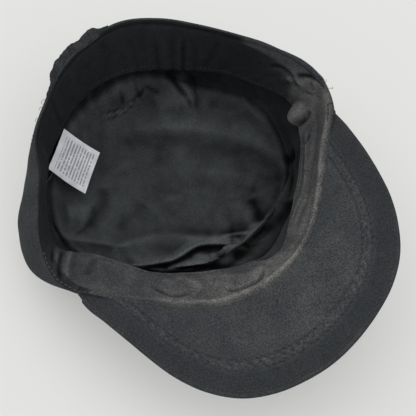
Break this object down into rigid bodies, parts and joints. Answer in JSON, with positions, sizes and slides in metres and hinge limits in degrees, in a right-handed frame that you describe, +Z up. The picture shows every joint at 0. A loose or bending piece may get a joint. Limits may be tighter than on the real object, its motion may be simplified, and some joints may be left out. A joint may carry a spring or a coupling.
{
  "type": "cadet cap",
  "caption": "Soft flat-crowned cadet cap with a stiff curved peak, sweatband, lining, gathered elastic back and a care label, lying on its crown with the opening up.",
  "frame": {"origin": "bottom centre of the cap's bounding box; z = 0 is the surface that the crown's flat panel lies on", "axes": "+Z up out of the head opening, -Y towards the peak's front edge, +X to the cap's right when looking from the back to the peak from above"},
  "size_m": [0.2006, 0.2522, 0.0751],
  "materials": {
    "twill": "matt black cotton twill",
    "lining": "matt black plain cotton, dusty",
    "sweatband": "matt black cotton, worn and dusty",
    "peak": "matt black cotton twill over a stiff board",
    "label": "smooth white satin"
  },
  "bodies": {
    "root": {"crown_top": "twill", "crown_side": "twill", "lining": "lining", "sweatband": "sweatband", "peak": "peak", "elastic_casing": "twill", "care_label": "label"}
  },
  "joints": []
}
